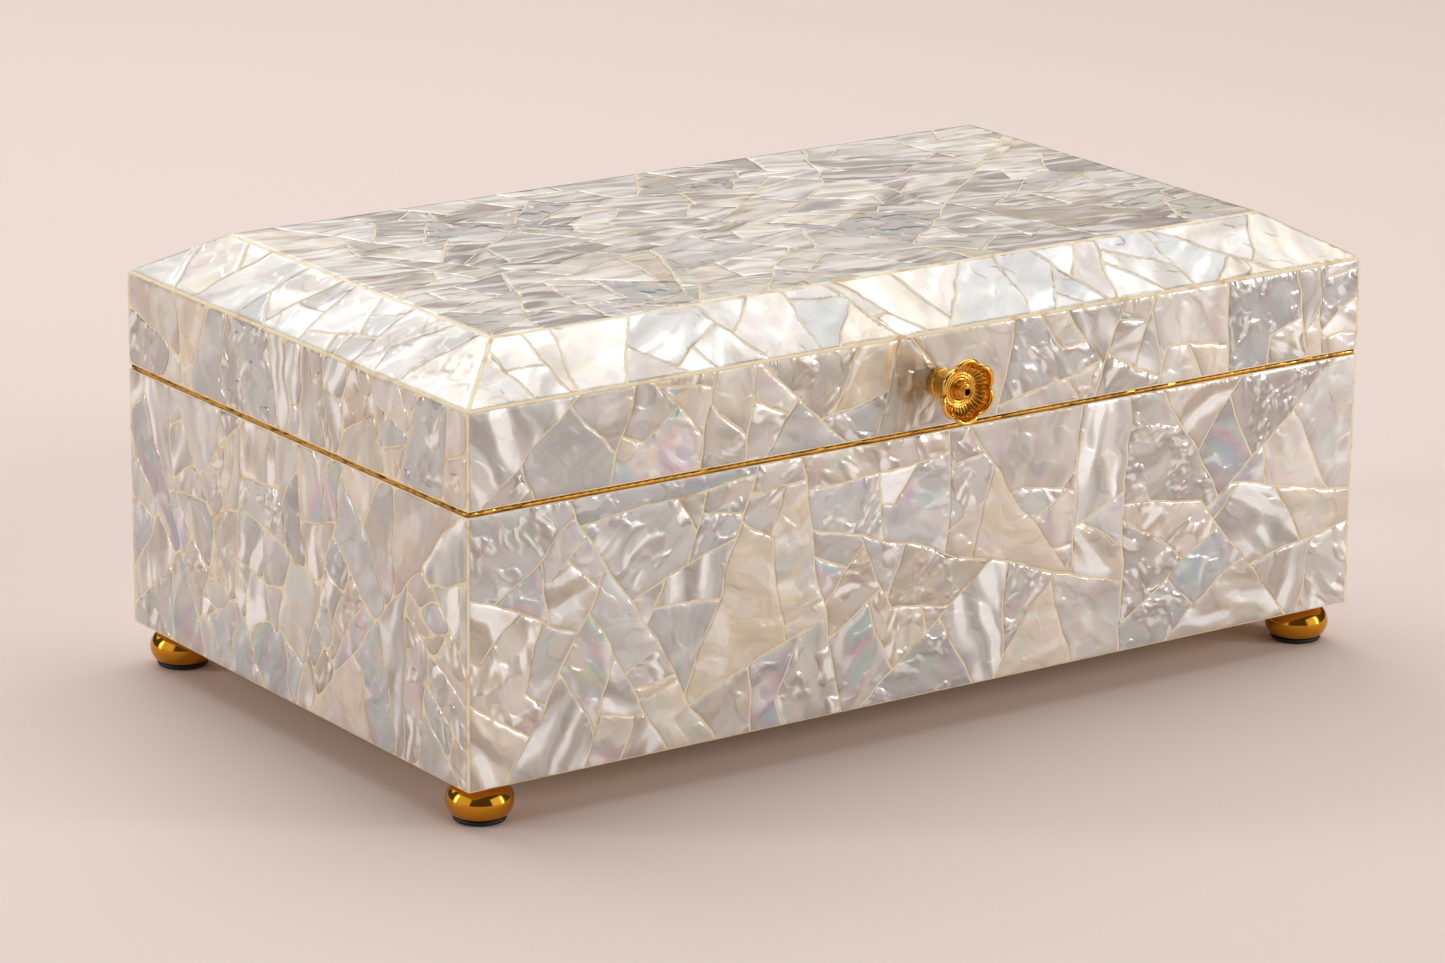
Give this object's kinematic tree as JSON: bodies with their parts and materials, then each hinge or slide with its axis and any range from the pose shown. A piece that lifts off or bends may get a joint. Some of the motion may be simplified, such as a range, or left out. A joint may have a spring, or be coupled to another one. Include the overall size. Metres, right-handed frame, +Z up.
{
  "type": "mother of pearl jewelry box",
  "caption": "Lidded jewelry box clad in a mother of pearl shard mosaic, with a hipped lift-off lid, brass seam band, flower knob and ball feet.",
  "frame": {"origin": "on the floor, under the middle of the box's whole footprint, knob included", "axes": "+X along the length of the box, -Y out of the front where the knob is, +Z up"},
  "size_m": [0.305, 0.1922, 0.1279],
  "materials": {
    "shell_mosaic": "polished mother of pearl shards set in cream resin over a wooden carcass",
    "seam_brass": "rolled and nicked brass strip",
    "knob_brass": "cast brass, satin polished",
    "foot_brass": "turned brass, mirror polished",
    "pad_rubber": "black moulded rubber"
  },
  "bodies": {
    "root": {"box_base": "shell_mosaic", "lid": "shell_mosaic", "seam_band": "seam_brass", "flower_knob": "knob_brass", "foot_front_left": "foot_brass", "foot_front_right": "foot_brass", "foot_back_left": "foot_brass", "foot_back_right": "foot_brass", "foot_pad_front_left": "pad_rubber", "foot_pad_front_right": "pad_rubber", "foot_pad_back_left": "pad_rubber", "foot_pad_back_right": "pad_rubber"}
  },
  "joints": []
}
